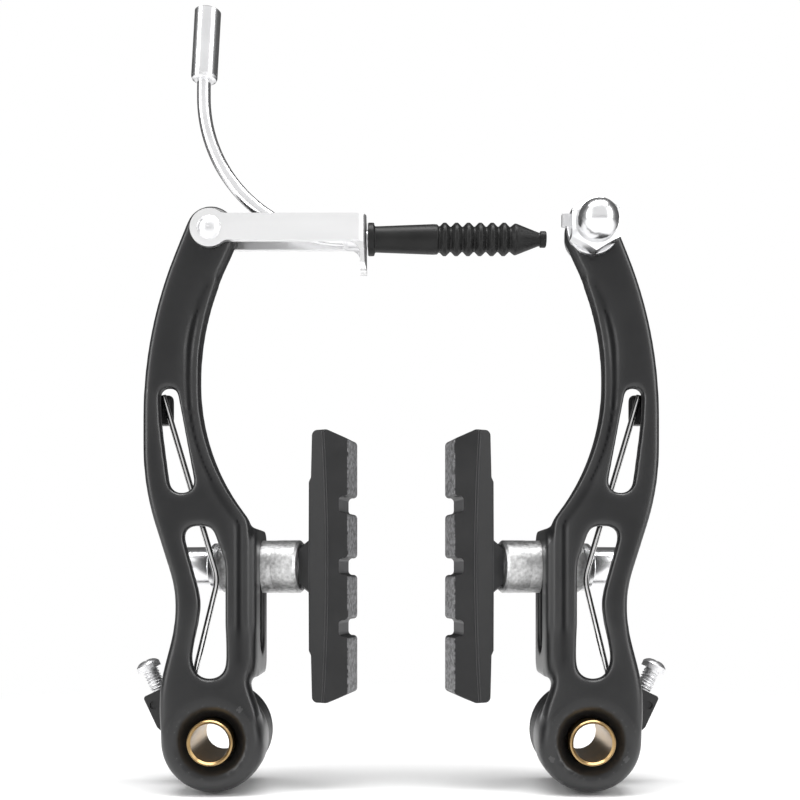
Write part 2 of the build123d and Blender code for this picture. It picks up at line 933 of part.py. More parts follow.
def anchor_washer():
    front = face_y - anchor_washer_thickness
    washer = disc(anchor_washer_radius, front, face_y, *pin)
    washer = fillet(washer.edges().sort_by(Axis.Y)[0], 0.4)
    # A tab hooks over the arm's edge, and a groove at the back holds the cable.
    tab = Box(2.4, anchor_washer_thickness, 2.6)
    middle = face_y - anchor_washer_thickness / 2
    washer += Pos(anchor_washer_radius - 0.2, middle, arm_length + 1.6) * tab
    groove = Rot(0, 90, 0) * Cylinder(0.75, 3 * anchor_washer_radius)
    groove = Pos(0, face_y, arm_length - anchor_bolt_radius - 1.0) * groove
    return washer - groove - disc(anchor_bolt_radius, front - 1, face_y + 1, *pin)


def anchor_nut():
    # A hexagon with turned corners and a tall closed dome.
    back = face_y - anchor_washer_thickness
    front = back - anchor_hex_height
    corner = anchor_flats / 2 / cos(radians(30))
    hexagon = RegularPolygon(anchor_flats / 2, 6, rotation=30, major_radius=False)
    turned = ring_about_pivot(
        [
            (0, back),
            (corner - 0.3, back),
            (corner + 0.1, back - 0.3),
            (corner + 0.1, front + 0.8),
            (corner - 1.3, front),
            (0, front),
        ]
    )
    nut = slab(hexagon, front, back) & turned
    r = anchor_dome_radius
    top = back - anchor_total
    dome = disc(r, top + r, front + 1) + Pos(0, top + r, 0) * Sphere(r)
    bore = disc(anchor_bolt_radius, top + 3.2, back + 1)
    return Pos(0, 0, arm_length) * (nut + dome - bore)


def on_left(shape):
    return Pos(-boss_spacing / 2, 0, 0) * shape


def on_right(shape):
    return Pos(boss_spacing / 2, 0, 0) * mirror(shape, about=Plane.YZ)


def side_pieces():
    # The pieces that both sides have, drawn for the left side about its pivot.
    housing, screw_seat = spring_housing()
    return {
        "bush": pivot_bush(),
        "spring_housing": housing,
        "housing_cover": housing_cover(),
        "stop_pin": stop_pin(),
        "return_spring": return_spring(),
        "tension_screw": tension_screw(screw_seat),
        "ball_washer_inner": at_flange(ball_washer(), 0),
        "ball_washer_outer": at_flange(Rot(0, 0, 180) * ball_washer(), 0),
        "cup_spacer_inner": at_flange(cup(cup_height), pad_toe),
        "cup_washer_outer": at_flange(Rot(0, 0, 180) * cup(outer_cup_height), pad_toe),
        "pad_block": at_flange(pad_block(), pad_toe),
        "pad_stud": at_flange(pad_stud(), pad_toe),
        "flat_washer": at_flange(flat_washer_ring(), pad_toe),
        "pad_nut": at_flange(pad_nut(), pad_toe),
    }


def brake_pieces():
    pieces = {
        "left_arm": on_left(arm(rivet_radius + run_gap)),
        "right_arm": on_right(arm(anchor_bolt_radius)),
    }
    for name, shape in side_pieces().items():
        pieces["left_" + name] = on_left(shape)
        pieces["right_" + name] = on_right(shape)
    for make in (cable_link, link_rivet, guide_pipe, pipe_liner, pipe_socket, pipe_nose, rubber_boot):
        pieces[make.__name__] = on_left(make())
    for make in (anchor_bolt, anchor_washer, anchor_nut):
        pieces[make.__name__] = on_right(make())
    return pieces


os.makedirs("parts", exist_ok=True)
for node, solid in brake_pieces().items():
    export_step(solid, "parts/" + node + ".step")
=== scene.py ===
import json
import math

import bpy
from mathutils import Matrix, Vector


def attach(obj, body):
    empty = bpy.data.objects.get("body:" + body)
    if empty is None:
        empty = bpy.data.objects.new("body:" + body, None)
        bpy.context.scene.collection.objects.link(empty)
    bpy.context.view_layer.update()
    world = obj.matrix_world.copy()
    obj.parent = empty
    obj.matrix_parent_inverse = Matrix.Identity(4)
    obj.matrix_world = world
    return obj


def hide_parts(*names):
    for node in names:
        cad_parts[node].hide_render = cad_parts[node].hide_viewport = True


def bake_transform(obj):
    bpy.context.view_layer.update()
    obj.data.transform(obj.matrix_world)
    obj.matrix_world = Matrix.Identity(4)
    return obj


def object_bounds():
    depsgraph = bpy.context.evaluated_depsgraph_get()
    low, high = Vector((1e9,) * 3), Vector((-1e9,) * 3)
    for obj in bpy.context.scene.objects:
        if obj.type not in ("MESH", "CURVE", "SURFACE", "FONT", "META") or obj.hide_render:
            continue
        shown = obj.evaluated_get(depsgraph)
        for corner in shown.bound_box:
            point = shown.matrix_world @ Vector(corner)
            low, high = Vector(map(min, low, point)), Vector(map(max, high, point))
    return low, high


# A linear-pull bicycle brake: black cast arms, pads on ball-seated posts, a bent guide pipe with a
# rubber boot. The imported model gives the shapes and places. This script gives the finishes, the
# arms' soft cast edges, the springs, the pads' cheek lines and the screw threads.
# Lengths in the dictionaries are millimetres.

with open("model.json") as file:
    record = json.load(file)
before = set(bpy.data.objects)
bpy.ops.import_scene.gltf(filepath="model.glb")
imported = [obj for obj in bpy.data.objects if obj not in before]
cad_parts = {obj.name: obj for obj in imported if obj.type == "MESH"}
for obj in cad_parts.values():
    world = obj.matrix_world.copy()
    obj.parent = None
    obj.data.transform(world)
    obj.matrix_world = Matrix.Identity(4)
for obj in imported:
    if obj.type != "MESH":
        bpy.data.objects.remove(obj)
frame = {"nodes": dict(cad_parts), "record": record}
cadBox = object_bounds()
nodes = frame["nodes"]
scene = bpy.context.scene
mm = 0.001
sides = {"left": -1, "right": 1}
bossHalf = 40.0
print("loaded", len(nodes), "nodes")


# Materials

surfaces = {
    "black_paint": {
        "colours": ((0.0075, 0.0075, 0.008), (0.012, 0.012, 0.0125)), "rough": (0.27, 0.36),
        # The shine by pointiness on the next line is painted shade in the grooves, and on the ridges
        # it is partly wear and partly a painted highlight.
        "patch": 90, "grain": 1300, "height": 0.012, "rubbedSheenAndGrooveShade": (0.478, 0.535, 0.03, 0.78),
    },
    "brass": {
        "colours": ((0.30, 0.20, 0.09), (0.41, 0.28, 0.135)), "rough": (0.24, 0.36), "metal": 1,
        "patch": 260, "grain": 900, "height": 0.004, "rings": 1500, "ringHeight": 0.012,
    },
    "black_plastic": {
        "colours": ((0.012, 0.012, 0.0125), (0.018, 0.018, 0.0185)), "rough": (0.42, 0.54),
        "patch": 120, "grain": 2200, "height": 0.012, "shine": 0.36,
    },
    "steel": {
        "colours": ((0.62, 0.62, 0.63), (0.74, 0.74, 0.75)), "rough": (0.32, 0.42), "metal": 1,
        "patch": 300, "grain": 1500, "height": 0.004,
    },
    "spring_steel": {
        "colours": ((0.58, 0.58, 0.58), (0.72, 0.715, 0.71)), "rough": (0.15, 0.22), "metal": 1,
        "patch": 220, "grain": 1400, "height": 0.004,
    },
    "sanded_steel": {
        "colours": ((0.36, 0.36, 0.36), (0.62, 0.62, 0.62)), "rough": (0.34, 0.50), "metal": 1,
        "patch": 1300, "grain": 1700, "height": 0.07,
    },
    "link_steel": {
        "colours": ((0.81, 0.81, 0.81), (0.89, 0.89, 0.895)), "rough": (0.28, 0.38), "metal": 1,
        "patch": 140, "grain": 1500, "height": 0.005, "stretch": (0.12, 1, 1),
    },
    "chrome": {
        "colours": ((0.76, 0.76, 0.77), (0.84, 0.84, 0.85)), "rough": (0.20, 0.27), "metal": 1,
        "patch": 180, "grain": 700, "height": 0.002,
    },
    "pad_rubber": {
        "colours": ((0.009, 0.009, 0.0095), (0.014, 0.014, 0.0145)), "rough": (0.40, 0.54),
        "patch": 150, "grain": 1900, "height": 0.016, "shine": 0.30,
        "face": (0.20, 0.20, 0.205), "floor": (0.075, 0.075, 0.077),
        "faceGrain": 1150, "faceHeight": 0.12,
    },
    "boot_rubber": {
        "colours": ((0.007, 0.007, 0.007), (0.011, 0.011, 0.011)), "rough": (0.36, 0.48),
        "patch": 200, "grain": 1900, "height": 0.012, "shine": 0.22,
    },
    "liner_plastic": {
        "colours": ((0.70, 0.70, 0.68), (0.78, 0.78, 0.76)), "rough": (0.35, 0.45),
        "patch": 200, "grain": 900, "height": 0.004,
    },
}


def link(tree, source, target):
    tree.links.new(source, target)


def addNode(tree, kind, **settings):
    node = tree.nodes.new(kind)
    for name, value in settings.items():
        setattr(node, name, value)
    return node


def noiseNode(tree, coordinates, scale, detail):
    noise = addNode(tree, "ShaderNodeTexNoise")
    noise.inputs["Scale"].default_value = scale
    noise.inputs["Detail"].default_value = detail
    link(tree, coordinates, noise.inputs["Vector"])
    return noise.outputs["Fac"]


def bumpNode(tree, height, depth, under=None):
    bump = addNode(tree, "ShaderNodeBump")
    bump.inputs["Distance"].default_value = depth * mm
    link(tree, height, bump.inputs["Height"])
    if under:
        link(tree, under, bump.inputs["Normal"])
    return bump.outputs["Normal"]


def rampNode(tree, value, low, high, smooth=False, least=0):
    # Rises from the least value at low to 1 at high, and low may be the larger.
    ramp = addNode(tree, "ShaderNodeMapRange")
    ramp.interpolation_type = "SMOOTHSTEP" if smooth else "LINEAR"
    ramp.inputs["From Min"].default_value, ramp.inputs["From Max"].default_value = low, high
    ramp.inputs["To Min"].default_value = least
    link(tree, value, ramp.inputs["Value"])
    return ramp.outputs["Result"]


def sidePoint(tree, point, centre):
    # The place from a point that the two mirrored sides share.
    both = addNode(tree, "ShaderNodeVectorMath", operation="ABSOLUTE")
    link(tree, point, both.inputs[0])
    height = addNode(tree, "ShaderNodeSeparateXYZ")
    link(tree, point, height.inputs[0])
    width = addNode(tree, "ShaderNodeSeparateXYZ")
    link(tree, both.outputs[0], width.inputs[0])
    joined = addNode(tree, "ShaderNodeCombineXYZ")
    link(tree, width.outputs["X"], joined.inputs["X"])
    link(tree, height.outputs["Y"], joined.inputs["Y"])
    link(tree, height.outputs["Z"], joined.inputs["Z"])
    moved = addNode(tree, "ShaderNodeVectorMath", operation="SUBTRACT")
    moved.inputs[1].default_value = [value * mm for value in centre]
    link(tree, joined.outputs[0], moved.inputs[0])
    return moved.outputs[0]


def turnedRings(tree, point, look, normal):
    # Fine rings about each pivot, as a lathe leaves them.
    middle = sidePoint(tree, point, (bossHalf, 0, 0))
    flat = addNode(tree, "ShaderNodeVectorMath", operation="MULTIPLY")
    flat.inputs[1].default_value = (1, 0, 1)
    link(tree, middle, flat.inputs[0])
    away = addNode(tree, "ShaderNodeVectorMath", operation="LENGTH")
    link(tree, flat.outputs[0], away.inputs[0])
    rings = addNode(tree, "ShaderNodeTexNoise", noise_dimensions="1D")
    rings.inputs["Scale"].default_value = look["rings"]
    rings.inputs["Detail"].default_value = 3
    link(tree, away.outputs["Value"], rings.inputs["W"])
    return bumpNode(tree, rings.outputs["Fac"], look["ringHeight"], normal)


pad = {
    "seat": (31.8, -7.0, 37.0), "toe": 12.0, "face": 21.8,
    "faceSkin": (0.25, 0.05), "floorTurn": (0.75, 0.9), "speck": (0.40, 0.60),
}


def brakingFace(tree, point, look, colour, normal):
    # The braking face is ground: lighter and much coarser than the moulded cheeks.
    toe = math.radians(pad["toe"])
    middle = sidePoint(tree, point, pad["seat"])
    along = addNode(tree, "ShaderNodeVectorMath", operation="DOT_PRODUCT")
    along.inputs[1].default_value = (-math.cos(toe), -math.sin(toe), 0)
    link(tree, middle, along.inputs[0])
    skin = [(pad["face"] - depth) * mm for depth in pad["faceSkin"]]
    ground = rampNode(tree, along.outputs["Value"], *skin)
    # Painted light: faces turned to the braking side, the notch floors among them, are painted a
    # lighter grey.
    shape = addNode(tree, "ShaderNodeNewGeometry")
    facing = addNode(tree, "ShaderNodeVectorMath", operation="DOT_PRODUCT")
    facing.inputs[1].default_value = (math.cos(toe), -math.sin(toe), 0)
    link(tree, sidePoint(tree, shape.outputs["Normal"], (0, 0, 0)), facing.inputs[0])
    paintedLightFloors = rampNode(tree, facing.outputs["Value"], *pad["floorTurn"])
    grit = noiseNode(tree, point, look["faceGrain"], 4)
    speck = rampNode(tree, grit, *pad["speck"])
    shade = addNode(tree, "ShaderNodeMath", operation="MULTIPLY")
    link(tree, ground, shade.inputs[0])
    link(tree, speck, shade.inputs[1])
    pale = addNode(tree, "ShaderNodeMix", data_type="RGBA")
    pale.inputs["B"].default_value = (*look["floor"], 1)
    link(tree, paintedLightFloors, pale.inputs["Factor"])
    link(tree, colour, pale.inputs["A"])
    worn = addNode(tree, "ShaderNodeMix", data_type="RGBA")
    worn.inputs["B"].default_value = (*look["face"], 1)
    link(tree, shade.outputs[0], worn.inputs["Factor"])
    link(tree, pale.outputs["Result"], worn.inputs["A"])
    return worn.outputs["Result"], bumpNode(tree, shade.outputs[0], look["faceHeight"], normal)


def finishMaterial(name, look):
    # Two close colours and a roughness range in soft patches, with a fine grain as bump.
    material = bpy.data.materials.new(name)
    material.use_nodes = True
    tree = material.node_tree
    shader = tree.nodes["Principled BSDF"]
    shader.inputs["Metallic"].default_value = look.get("metal", 0)
    shader.inputs["Specular IOR Level"].default_value = look.get("shine", 0.5)
    place = addNode(tree, "ShaderNodeTexCoord")
    mapping = addNode(tree, "ShaderNodeMapping")
    mapping.inputs["Scale"].default_value = look.get("stretch", (1, 1, 1))
    link(tree, place.outputs["Object"], mapping.inputs["Vector"])
    patches = noiseNode(tree, mapping.outputs["Vector"], look["patch"], 3)
    grain = noiseNode(tree, mapping.outputs["Vector"], look["grain"], 2)
    colour = addNode(tree, "ShaderNodeMix", data_type="RGBA")
    low, high = look["colours"]
    colour.inputs["A"].default_value = (*low, 1)
    colour.inputs["B"].default_value = (*high, 1)
    link(tree, rampNode(tree, patches, 0.3, 0.7), colour.inputs["Factor"])
    tone = colour.outputs["Result"]
    rough = addNode(tree, "ShaderNodeMapRange")
    rough.inputs["To Min"].default_value, rough.inputs["To Max"].default_value = look["rough"]
    link(tree, patches, rough.inputs["Value"])
    link(tree, rough.outputs["Result"], shader.inputs["Roughness"])
    if "rubbedSheenAndGrooveShade" in look:
        # Painted shade and highlight through the shine: the specular level follows pointiness. Grooves
        # stay dull as painted shade. Ridges are shinier, partly as worn by handling and partly as a
        # painted highlight.
        shape = addNode(tree, "ShaderNodeNewGeometry")
        rubbedSheenAndGrooveShade = addNode(tree, "ShaderNodeMapRange")
        low, high, dull, bright = look["rubbedSheenAndGrooveShade"]
        rubbedSheenAndGrooveShade.inputs["From Min"].default_value, rubbedSheenAndGrooveShade.inputs["From Max"].default_value = low, high
        rubbedSheenAndGrooveShade.inputs["To Min"].default_value, rubbedSheenAndGrooveShade.inputs["To Max"].default_value = dull, bright
        link(tree, shape.outputs["Pointiness"], rubbedSheenAndGrooveShade.inputs["Value"])
        link(tree, rubbedSheenAndGrooveShade.outputs["Result"], shader.inputs["Specular IOR Level"])
    normal = bumpNode(tree, grain, look["height"])
    if "rings" in look:
        normal = turnedRings(tree, place.outputs["Object"], look, normal)
    if "face" in look:
        tone, normal = brakingFace(tree, place.outputs["Object"], look, tone, normal)
    link(tree, tone, shader.inputs["Base Color"])
    link(tree, normal, shader.inputs["Normal"])
    return material


materials = {slotName: finishMaterial(slotName, look) for slotName, look in surfaces.items()}
slotOfNode = {row["node"]: row["material_slot"] for row in frame["record"]["subparts"]}
for nodeName, nodeObject in nodes.items():
    for place in nodeObject.material_slots:
        place.material = materials[slotOfNode[nodeName]]
print("materials", len(materials))


# Geometry Nodes trees


def newTree(name, sockets):
    tree = bpy.data.node_groups.new(name, "GeometryNodeTree")
    tree.interface.new_socket("Geometry", in_out="INPUT", socket_type="NodeSocketGeometry")
    tree.interface.new_socket("Geometry", in_out="OUTPUT", socket_type="NodeSocketGeometry")
    ids = {}
    for label, kind in sockets.items():
        ids[label] = tree.interface.new_socket(label, in_out="INPUT", socket_type=kind).identifier
    return tree, ids, tree.nodes.new("NodeGroupInput"), tree.nodes.new("NodeGroupOutput")


def endTree(tree, geometry, start, end):
    # Smooth shading, real geometry and the finish close every tree.
    smooth = addNode(tree, "GeometryNodeSetShadeSmooth")
    real = addNode(tree, "GeometryNodeRealizeInstances")
    paint = addNode(tree, "GeometryNodeSetMaterial")
    link(tree, geometry, smooth.inputs["Geometry"])
    link(tree, smooth.outputs["Geometry"], real.inputs["Geometry"])
    link(tree, real.outputs["Geometry"], paint.inputs["Geometry"])
    link(tree, start.outputs["Finish"], paint.inputs["Material"])
    link(tree, paint.outputs["Geometry"], end.inputs["Geometry"])


def grownMesh(name, carrier, tree, ids, values):
    # Runs the tree on a carrier object and keeps the result as a plain mesh.
    modifier = carrier.modifiers.new(tree.name, "NODES")
    modifier.node_group = tree
    for label, value in values.items():
        modifier[ids[label]] = value
    bpy.context.view_layer.update()
    seen = carrier.evaluated_get(bpy.context.evaluated_depsgraph_get())
    mesh = bpy.data.meshes.new_from_object(seen)
    mesh.name = name
    bpy.data.objects.remove(carrier)
    piece = bpy.data.objects.new(name, mesh)
    scene.collection.objects.link(piece)
    return piece


def wireTree():
    # A round wire along the carrier's own line.
    tree, ids, start, end = newTree(
        "wire", {"Wire Radius": "NodeSocketFloat", "Finish": "NodeSocketMaterial"}
    )
    ring = addNode(tree, "GeometryNodeCurvePrimitiveCircle")
    ring.inputs["Resolution"].default_value = 18
    sweep = addNode(tree, "GeometryNodeCurveToMesh")
    sweep.inputs["Fill Caps"].default_value = True
    link(tree, start.outputs["Wire Radius"], ring.inputs["Radius"])
    link(tree, start.outputs["Geometry"], sweep.inputs["Curve"])
    link(tree, ring.outputs["Curve"], sweep.inputs["Profile Curve"])
    endTree(tree, sweep.outputs["Mesh"], start, end)
    return tree, ids


def threadTree():
    # A screw thread: one ridge of diamond section wound up the z axis.
    tree, ids, start, end = newTree(
        "thread",
        {
            "Radius": "NodeSocketFloat",
            "Turns": "NodeSocketFloat",
            "Height": "NodeSocketFloat",
            "Ridge": "NodeSocketFloat",
            "Finish": "NodeSocketMaterial",
        },
    )
    spiral = addNode(tree, "GeometryNodeCurveSpiral")
    spiral.inputs["Resolution"].default_value = 32
    ridge = addNode(tree, "GeometryNodeCurvePrimitiveCircle")
    ridge.inputs["Resolution"].default_value = 4
    sweep = addNode(tree, "GeometryNodeCurveToMesh")
    sweep.inputs["Fill Caps"].default_value = True
    link(tree, start.outputs["Turns"], spiral.inputs["Rotations"])
    link(tree, start.outputs["Radius"], spiral.inputs["Start Radius"])
    link(tree, start.outputs["Radius"], spiral.inputs["End Radius"])
    link(tree, start.outputs["Height"], spiral.inputs["Height"])
    link(tree, start.outputs["Ridge"], ridge.inputs["Radius"])
    link(tree, spiral.outputs["Curve"], sweep.inputs["Curve"])
    link(tree, ridge.outputs["Curve"], sweep.inputs["Profile Curve"])
    endTree(tree, sweep.outputs["Mesh"], start, end)
    return tree, ids


# Cast arms: the solids' own shape with its edges run soft, as a casting is under its paint

casting = {
    "voxel": 0.42, "passes": 5, "footPasses": 26, "rimPasses": 14,
    "footTop": (24.0, 14.0), "bore": (8.4, 10.0), "depth": (-13.2, -16.0), "rear": 0.1,
    "dish": (9.4, 4.9), "dishCurve": 1.8, "dishSink": 1.5, "dishDepth": (-15.0, -17.0),
    "rimInside": (5.6, 6.6), "rimOutside": (10.6, 9.6),
}


def castTree():
    # A light blur all over, a deep one on the foot's front, then the dish and a blur of its rim.
    tree, ids, start, end = newTree(
        "cast",
        {
            "Passes": "NodeSocketInt",
            "Foot Passes": "NodeSocketInt",
            "Rim Passes": "NodeSocketInt",
            "Pivot": "NodeSocketVector",
            "Finish": "NodeSocketMaterial",
        },
    )
    place = addNode(tree, "GeometryNodeInputPosition")

    def blur(geometry, passes, weight):
        soft = addNode(tree, "GeometryNodeBlurAttribute", data_type="FLOAT_VECTOR")
        link(tree, place.outputs[0], soft.inputs["Value"])
        link(tree, passes, soft.inputs["Iterations"])
        link(tree, weight, soft.inputs["Weight"])
        move = addNode(tree, "GeometryNodeSetPosition")
        link(tree, geometry, move.inputs["Geometry"])
        link(tree, soft.outputs["Value"], move.inputs["Position"])
        return move.outputs["Geometry"]

    def product(first, second):
        both = addNode(tree, "ShaderNodeMath", operation="MULTIPLY")
        link(tree, first, both.inputs[0])
        link(tree, second, both.inputs[1])
        return both.outputs[0]

    def ramp(value, name, least=0):
        return rampNode(tree, value, *[size * mm for size in casting[name]], least=least)

    away = addNode(tree, "ShaderNodeVectorMath", operation="SUBTRACT")
    link(tree, place.outputs[0], away.inputs[0])
    link(tree, start.outputs["Pivot"], away.inputs[1])
    parts = addNode(tree, "ShaderNodeSeparateXYZ")
    link(tree, away.outputs[0], parts.inputs[0])
    flat = addNode(tree, "ShaderNodeVectorMath", operation="MULTIPLY")
    flat.inputs[1].default_value = (1, 0, 1)
    link(tree, away.outputs[0], flat.inputs[0])
    length = addNode(tree, "ShaderNodeVectorMath", operation="LENGTH")
    link(tree, flat.outputs[0], length.inputs[0])
    radius, depth, height = length.outputs["Value"], parts.outputs["Y"], parts.outputs["Z"]

    # Where each blur works: the rear keeps the solid's edges almost as they are.
    front = ramp(depth, "depth", least=casting["rear"])
    foot = product(product(ramp(radius, "bore"), ramp(height, "footTop")), ramp(depth, "depth"))
    rim = product(product(ramp(depth, "depth"), ramp(radius, "rimInside")), ramp(radius, "rimOutside"))
    light = blur(start.outputs["Geometry"], start.outputs["Passes"], front)
    deep = blur(light, start.outputs["Foot Passes"], foot)

    # The dish slopes in towards the bush, and more steeply the nearer it comes.
    slope = addNode(tree, "ShaderNodeMath", operation="POWER")
    slope.inputs[1].default_value = casting["dishCurve"]
    link(tree, ramp(radius, "dish"), slope.inputs[0])
    sink = addNode(tree, "ShaderNodeMath", operation="MULTIPLY")
    sink.inputs[1].default_value = casting["dishSink"] * mm
    link(tree, product(slope.outputs[0], ramp(depth, "dishDepth")), sink.inputs[0])
    back = addNode(tree, "ShaderNodeCombineXYZ")
    link(tree, sink.outputs[0], back.inputs["Y"])
    dish = addNode(tree, "GeometryNodeSetPosition")
    link(tree, deep, dish.inputs["Geometry"])
    link(tree, back.outputs[0], dish.inputs["Offset"])
    settled = blur(dish.outputs["Geometry"], start.outputs["Passes"], front)
    softened = blur(settled, start.outputs["Rim Passes"], rim)
    endTree(tree, softened, start, end)
    return tree, ids


cast, castIds = castTree()
for side, way in sides.items():
    carrier = bpy.data.objects.new(side + "CastArm", nodes[side + "_arm"].data.copy())
    scene.collection.objects.link(carrier)
    weld = carrier.modifiers.new("weld", "WELD")
    weld.merge_threshold = 0.002 * mm
    cells = carrier.modifiers.new("cells", "REMESH")
    cells.mode = "VOXEL"
    cells.voxel_size = casting["voxel"] * mm
    arm = grownMesh(
        side + "_arm_casting", carrier, cast, castIds,
        {
            "Passes": casting["passes"],
            "Foot Passes": casting["footPasses"],
            "Rim Passes": casting["rimPasses"],
            "Pivot": (way * bossHalf * mm, 0, 0),
            "Finish": materials["black_paint"],
        },
    )
    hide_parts(side + "_arm")
    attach(arm, side + "_arm")
    print(side, "arm casting", len(arm.data.polygons), "faces")


# Return springs

springs = {
    "wireRadius": 0.62, "coilRadius": 7.6, "turns": 3, "front": -12.6, "back": -2.4,
    "legLean": 14.0, "kinkHeight": 34.3, "legDepth": -13.45, "legEnd": (-11.0, 73.6),
    "screwPlace": (-16.4, 14.0), "screwTilt": 25.0, "screwLength": 10.0, "screwGap": 0.12,
    "shortExtra": 0.6, "kinkRound": 2.2, "coilSteps": 40, "legSteps": 14, "kinkSteps": 8,
    "wind": (-3.1, -12.4),
}


def springLine(look):
    # The wire's middle line for the left side about its pivot, x inwards, in millimetres.
    tilt = math.radians(look["screwTilt"])
    reach = look["screwLength"] + look["wireRadius"] + look["screwGap"]
    endX = look["screwPlace"][0] + math.sin(tilt) * reach
    endZ = look["screwPlace"][1] - math.cos(tilt) * reach
    radius = look["coilRadius"]
    away = math.hypot(endX, endZ)
    begin = math.atan2(endZ, endX) - math.acos(radius / away)
    finish = math.radians(180 - look["legLean"])
    turn = (begin - finish) % math.tau + math.tau * (look["turns"] - 1)
    height = look["back"] - look["front"]
    steps = look["coilSteps"] * look["turns"]
    coil = []
    for k in range(steps + 1):
        angle = begin - turn * k / steps
        depth = look["back"] - height * k / steps
        coil.append((radius * math.cos(angle), depth, radius * math.sin(angle)))
    into = Vector(coil[1]) - Vector(coil[0])
    into.normalize()
    shortEnd = math.hypot(endX - coil[0][0], endZ - coil[0][2]) + look["shortExtra"]
    first = Vector(coil[0]) - into * shortEnd
    last = Vector(coil[-1])
    kink = Vector((
        last.x + (look["kinkHeight"] - last.z) * math.tan(math.radians(look["legLean"])),
        look["legDepth"],
        look["kinkHeight"],
    ))
    end = Vector((look["legEnd"][0], look["legDepth"], look["legEnd"][1]))
    line = [first] + [Vector(point) for point in coil]
    steps = look["legSteps"]
    line += [last.lerp(kink, k / steps) for k in range(1, steps)]
    before = kink + (last - kink).normalized() * look["kinkRound"]
    after = kink + (end - kink).normalized() * look["kinkRound"]
    for k in range(look["kinkSteps"] + 1):
        t = k / look["kinkSteps"]
        line.append(before.lerp(kink, t).lerp(kink.lerp(after, t), t))
    line += [kink.lerp(end, k / steps) for k in range(2, steps + 1)]
    return line


def polyCurve(name, points):
    curve = bpy.data.curves.new(name, "CURVE")
    curve.dimensions = "3D"
    spline = curve.splines.new("POLY")
    spline.points.add(len(points) - 1)
    for point, place in zip(spline.points, points):
        point.co = (*place, 1)
    carrier = bpy.data.objects.new(name, curve)
    scene.collection.objects.link(carrier)
    return carrier


wire, wireIds = wireTree()
for side, way in sides.items():
    line = [Vector((way * (bossHalf - p.x), p.y, p.z)) * mm for p in springLine(springs)]
    carrier = polyCurve(side + "SpringLine", line)
    spring = grownMesh(
        side + "_spring_wire", carrier, wire, wireIds,
        {"Wire Radius": springs["wireRadius"] * mm, "Finish": materials["spring_steel"]},
    )
    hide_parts(side + "_return_spring")
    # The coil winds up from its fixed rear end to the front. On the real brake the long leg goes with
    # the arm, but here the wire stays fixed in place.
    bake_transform(spring)
print("springs")


# The raised line that runs down each cheek of the pads

ridges = {"start": (16.3, -28.9), "middle": (17.2, 0.0), "reach": 4.25, "radius": 0.32, "steps": 24}


def padPoint(way, x, y, z):
    # A point of the pad's own drawing, whose x runs along the post, in the whole brake's frame.
    toe = math.radians(pad["toe"])
    inwards = x * math.cos(toe) + y * math.sin(toe)
    back = y * math.cos(toe) - x * math.sin(toe)
    seatX, seatY, seatZ = pad["seat"]
    return Vector((way * (seatX - inwards), seatY + back, seatZ + z)) * mm


for side, way in sides.items():
    for name, face in {"front": -1, "rear": 1}.items():
        line = []
        for k in range(ridges["steps"] + 1):
            t = 2 * k / ridges["steps"] - 1
            x = ridges["middle"][0] + (ridges["start"][0] - ridges["middle"][0]) * t * t
            line.append(padPoint(way, x, face * ridges["reach"], ridges["start"][1] * t))
        ridge = grownMesh(
            side + "_pad_" + name + "_line", polyCurve(side + name + "PadLine", line), wire, wireIds,
            {"Wire Radius": ridges["radius"] * mm, "Finish": materials["pad_rubber"]},
        )
        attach(ridge, side + "_pad")
print("pad lines")


# Threads on the tension screws, where they stand out of their lugs

threads = {"screwPlace": (-16.4, -2.4, 14.0), "tilt": 25.0, "from": 0.35, "length": 4.2,
           "pitch": 0.7, "radius": 1.5, "ridge": 0.3}


def addThread(side, way, look, tree, ids):
    carrier = bpy.data.objects.new(side + "ThreadLine", bpy.data.meshes.new("empty"))
    scene.collection.objects.link(carrier)
    piece = grownMesh(
        side + "_screw_thread", carrier, tree, ids,
        {
            "Radius": look["radius"] * mm,
            "Turns": look["length"] / look["pitch"],
            "Height": look["length"] * mm,
            "Ridge": look["ridge"] * mm,
            "Finish": materials["steel"],
        },
    )
    x, y, z = look["screwPlace"]
    down = Matrix.Translation((0, 0, -(look["from"] + look["length"]) * mm))
    lean = Matrix.Rotation(way * math.radians(look["tilt"]), 4, "Y")
    place = Matrix.Translation((way * (bossHalf - x) * mm, y * mm, z * mm))
    piece.data.transform(place @ lean @ down)
    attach(piece, side + "_screw")


thread, threadIds = threadTree()
for side, way in sides.items():
    addThread(side, way, threads, thread, threadIds)
print("threads")


# Camera, at the photograph's viewing angle

view = {"distance": 225.0, "eye": 34.0, "plane": -20.0, "scale": 4.8, "middle": 401.25, "level": 743.5}


def addCamera(look):
    width = 800 / look["scale"]
    camera = bpy.data.cameras.new("camera")
    camera.sensor_width = 36
    camera.lens = 36 * look["distance"] / width
    camera.clip_start = 0.01
    camera.clip_end = 20
    eyeObject = bpy.data.objects.new("camera", camera)
    eyeObject.location = (
        (400 - look["middle"]) / look["scale"] * mm,
        (look["plane"] - look["distance"]) * mm,
        look["eye"] * mm,
    )
    eyeObject.rotation_euler = (math.radians(90), 0, 0)
    camera.shift_y = ((look["level"] - 400) / look["scale"] - look["eye"]) / width
    scene.collection.objects.link(eyeObject)
    scene.camera = eyeObject


addCamera(view)


# Floor, world and lamps

studio = {
    "floorDrop": 0.4, "floorSize": 8.0, "floorColour": (0.97, 0.97, 0.97), "fade": (0.07, 0.24),
    "front": (0.90, 0.90, 0.90), "back": (0.10, 0.10, 0.10), "turn": (-0.85, 0.25),
}


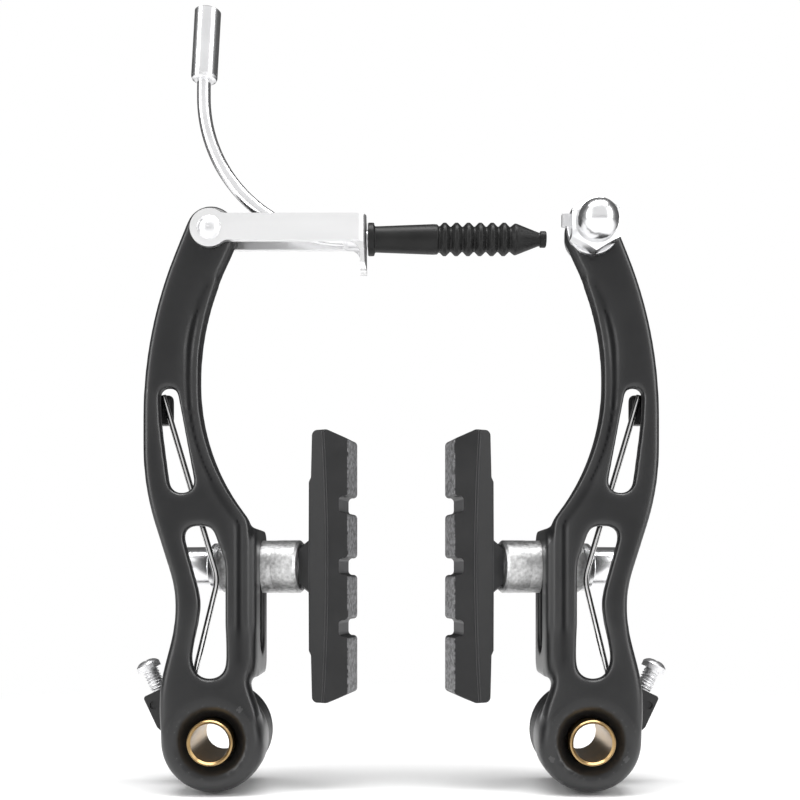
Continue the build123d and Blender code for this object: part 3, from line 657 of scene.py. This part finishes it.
def addFloor(look):
    # A plain pale floor that takes the shadow and turns plain white to the camera further out.
    mesh = bpy.data.meshes.new("floor")
    half, level = look["floorSize"] / 2, cadBox[0][2] - look["floorDrop"] * mm
    corners = [(-half, -half, level), (half, -half, level), (half, half, level), (-half, half, level)]
    mesh.from_pydata(corners, [], [(0, 1, 2, 3)])
    floor = bpy.data.objects.new("floor", mesh)
    scene.collection.objects.link(floor)
    material = bpy.data.materials.new("floor")
    material.use_nodes = True
    tree = material.node_tree
    shader = tree.nodes["Principled BSDF"]
    shader.inputs["Base Color"].default_value = (*look["floorColour"], 1)
    shader.inputs["Roughness"].default_value = 0.9
    shader.inputs["Specular IOR Level"].default_value = 0.1
    white = addNode(tree, "ShaderNodeEmission")
    place = addNode(tree, "ShaderNodeTexCoord")
    away = addNode(tree, "ShaderNodeVectorMath", operation="LENGTH")
    link(tree, place.outputs["Object"], away.inputs[0])
    far = rampNode(tree, away.outputs["Value"], *look["fade"], smooth=True)
    path = addNode(tree, "ShaderNodeLightPath")
    seen = addNode(tree, "ShaderNodeMath", operation="MULTIPLY")
    link(tree, far, seen.inputs[0])
    link(tree, path.outputs["Is Camera Ray"], seen.inputs[1])
    choose = addNode(tree, "ShaderNodeMixShader")
    link(tree, seen.outputs[0], choose.inputs[0])
    link(tree, shader.outputs[0], choose.inputs[1])
    link(tree, white.outputs[0], choose.inputs[2])
    link(tree, choose.outputs[0], tree.nodes["Material Output"].inputs["Surface"])
    mesh.materials.append(material)


def addWorld(look):
    # White to the camera. As light it is bright in front of the brake and dark behind it.
    world = bpy.data.worlds.new("studio")
    world.use_nodes = True
    tree = world.node_tree
    sky = tree.nodes["Background"]
    out = tree.nodes["World Output"]
    place = addNode(tree, "ShaderNodeTexCoord")
    depth = addNode(tree, "ShaderNodeSeparateXYZ")
    link(tree, place.outputs["Generated"], depth.inputs[0])
    tone = addNode(tree, "ShaderNodeMix", data_type="RGBA")
    tone.inputs["A"].default_value = (*look["front"], 1)
    tone.inputs["B"].default_value = (*look["back"], 1)
    link(tree, rampNode(tree, depth.outputs["Y"], *look["turn"], smooth=True), tone.inputs["Factor"])
    link(tree, tone.outputs["Result"], sky.inputs["Color"])
    white = addNode(tree, "ShaderNodeBackground")
    white.inputs["Color"].default_value = (1, 1, 1, 1)
    path = addNode(tree, "ShaderNodeLightPath")
    choose = addNode(tree, "ShaderNodeMixShader")
    link(tree, path.outputs["Is Camera Ray"], choose.inputs[0])
    link(tree, sky.outputs["Background"], choose.inputs[1])
    link(tree, white.outputs["Background"], choose.inputs[2])
    link(tree, choose.outputs["Shader"], out.inputs["Surface"])
    scene.world = world


lamps = {
    "above": {"place": (0.0, -0.15, 0.75), "size": (0.8, 0.30), "power": 6.5},
    "leftSide": {"place": (-0.56, -0.34, 0.20), "size": (0.22, 0.8), "power": 2.6},
    "rightSide": {"place": (0.56, -0.34, 0.20), "size": (0.22, 0.8), "power": 2.6},
}


def addLamps(look):
    for name, lamp in look.items():
        light = bpy.data.lights.new(name, "AREA")
        light.shape = "RECTANGLE"
        light.size, light.size_y = lamp["size"]
        light.energy = lamp["power"]
        lampObject = bpy.data.objects.new(name, light)
        lampObject.location = lamp["place"]
        aim = Vector((0, 0, 0.06)) - Vector(lamp["place"])
        lampObject.rotation_euler = aim.to_track_quat("-Z", "Y").to_euler()
        scene.collection.objects.link(lampObject)


addFloor(studio)
addWorld(studio)
addLamps(lamps)
scene.view_settings.view_transform = "Standard"
print("studio")
